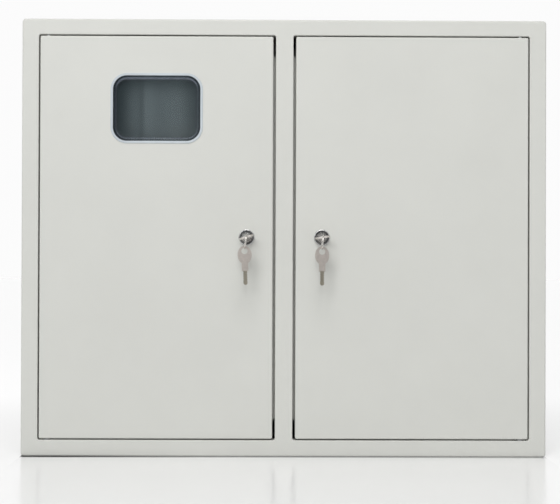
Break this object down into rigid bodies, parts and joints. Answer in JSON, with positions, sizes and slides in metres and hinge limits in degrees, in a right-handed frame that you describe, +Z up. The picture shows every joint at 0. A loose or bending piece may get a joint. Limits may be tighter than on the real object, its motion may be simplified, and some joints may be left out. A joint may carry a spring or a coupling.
{
  "type": "metal electrical enclosure",
  "caption": "Sheet-steel wall enclosure with two flush locking doors, a clear window in the left door, a meter plate, device rails, a slotted cover panel and earth bars.",
  "frame": {"origin": "centre of the four wall holes, on the back face", "axes": "X to the right along the width, Y into the wall, Z up"},
  "size_m": [0.6, 0.2022, 0.5],
  "materials": {
    "cabinet_paint": "satin",
    "zinc_steel": "satin",
    "lock_chrome": "polished",
    "key_nickel": "satin",
    "bar_brass": "satin",
    "clear_plastic": "gloss",
    "grommet_rubber": "matt",
    "insulator_plastic": "matt"
  },
  "bodies": {
    "cabinet": {"body_shell": "cabinet_paint", "back_panel": "cabinet_paint", "partition": "cabinet_paint", "meter_plate": "cabinet_paint", "false_panel": "cabinet_paint", "upper_hinge_pins": "zinc_steel", "lower_hinge_pins": "zinc_steel", "hinge_washers": "zinc_steel", "breaker_rail": "zinc_steel", "breaker_rail_brackets": "zinc_steel", "breaker_rail_screws": "zinc_steel", "rail_uprights": "zinc_steel", "rail_screws": "zinc_steel", "meter_plate_screws": "zinc_steel", "false_panel_pillars": "zinc_steel", "false_panel_screws": "zinc_steel", "cabinet_earth_stud": "zinc_steel", "cabinet_earth_nut": "zinc_steel", "earth_bar_feet": "zinc_steel", "din_rail_1": "zinc_steel", "din_rail_2": "zinc_steel", "din_rail_3": "zinc_steel", "din_rail_4": "zinc_steel", "neutral_bar_screws": "zinc_steel", "earth_bar_screws": "zinc_steel", "cable_grommets": "grommet_rubber", "neutral_bar": "bar_brass", "earth_bar": "bar_brass", "neutral_bar_insulators": "insulator_plastic"},
    "left_door": {"left_door": "cabinet_paint", "left_door_bushes": "zinc_steel", "left_lock_body": "lock_chrome", "left_lock_nut": "zinc_steel", "left_door_earth_stud": "zinc_steel", "left_door_earth_nut": "zinc_steel", "window_pane": "clear_plastic"},
    "left_lock": {"left_lock_plug": "lock_chrome", "left_cam_washer": "zinc_steel", "left_lock_cam": "zinc_steel", "left_cam_screw": "zinc_steel"},
    "left_key": {"left_key": "key_nickel"},
    "left_key_ring": {"left_key_ring": "key_nickel"},
    "left_spare_key": {"left_spare_key": "key_nickel"},
    "right_door": {"right_door": "cabinet_paint", "right_door_bushes": "zinc_steel", "right_lock_body": "lock_chrome", "right_lock_nut": "zinc_steel", "right_door_earth_stud": "zinc_steel", "right_door_earth_nut": "zinc_steel"},
    "right_lock": {"right_lock_plug": "lock_chrome", "right_cam_washer": "zinc_steel", "right_lock_cam": "zinc_steel", "right_cam_screw": "zinc_steel"},
    "right_key": {"right_key": "key_nickel"},
    "right_key_ring": {"right_key_ring": "key_nickel"},
    "right_spare_key": {"right_spare_key": "key_nickel"}
  },
  "joints": [
    {"name": "left_door_hinge", "type": "hinge", "parent": "cabinet", "child": "left_door", "pos_m": [-0.2705, -0.1603, 0], "axis": [0, 0, -1], "range_deg": [0, 120]},
    {"name": "left_lock_turn", "type": "hinge", "parent": "left_door", "child": "left_lock", "pos_m": [-0.043, -0.165, 0.0004], "axis": [0, 1, 0], "range_deg": [0, 90]},
    {"name": "left_key_withdraw", "type": "slide", "parent": "left_lock", "child": "left_key", "axis": [0, -1, 0], "range_m": [0, 0.016]},
    {"name": "left_ring_swing", "type": "hinge", "parent": "left_key", "child": "left_key_ring", "pos_m": [-0.043, -0.1937, 0.0004], "axis": [0.9903, 0, -0.1392], "range_deg": [-60, 4]},
    {"name": "left_spare_key_swing", "type": "hinge", "parent": "left_key_ring", "child": "left_spare_key", "pos_m": [-0.04486, -0.1937, -0.01286], "axis": [0, 1, 0], "range_deg": [-80, 80]},
    {"name": "right_door_hinge", "type": "hinge", "parent": "cabinet", "child": "right_door", "pos_m": [0.2705, -0.1603, 0], "axis": [0, 0, 1], "range_deg": [0, 120]},
    {"name": "right_lock_turn", "type": "hinge", "parent": "right_door", "child": "right_lock", "pos_m": [0.043, -0.165, 0.0004], "axis": [0, -1, 0], "range_deg": [0, 90]},
    {"name": "right_key_withdraw", "type": "slide", "parent": "right_lock", "child": "right_key", "axis": [0, -1, 0], "range_m": [0, 0.016]},
    {"name": "right_ring_swing", "type": "hinge", "parent": "right_key", "child": "right_key_ring", "pos_m": [0.043, -0.1937, 0.0004], "axis": [0.9986, 0, -0.0523], "range_deg": [-60, 4]},
    {"name": "right_spare_key_swing", "type": "hinge", "parent": "right_key_ring", "child": "right_spare_key", "pos_m": [0.04228, -0.1937, -0.01327], "axis": [0, 1, 0], "range_deg": [-80, 80]}
  ]
}
